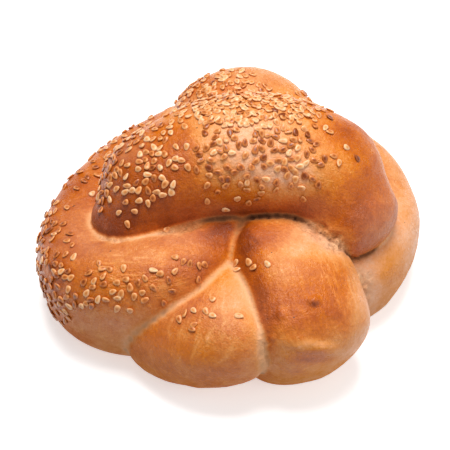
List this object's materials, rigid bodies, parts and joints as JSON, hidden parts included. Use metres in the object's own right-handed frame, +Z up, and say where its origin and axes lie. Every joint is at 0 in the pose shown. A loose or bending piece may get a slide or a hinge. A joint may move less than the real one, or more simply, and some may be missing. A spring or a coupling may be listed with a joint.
{
  "type": "knotted sesame roll",
  "caption": "Baked bread roll tied in a knot from a thick rope of dough, with sesame seeds on its top and left side, lying on its flat underside.",
  "frame": {"origin": "middle of the roll's footprint, on the surface that it lies on", "axes": "+Z up, -Y towards the two front lobes of the knot, +X to the right when seen from the front"},
  "size_m": [0.1258, 0.1184, 0.0664],
  "materials": {
    "baked_crust": "satin, golden brown baked crust with a thin egg-wash shine, darker brown on the front of the top strand and pale cream in the creases",
    "sesame_seed": "matt, pale cream to toasted brown sesame seeds"
  },
  "bodies": {
    "root": {"knotted_roll": "baked_crust"}
  },
  "joints": []
}
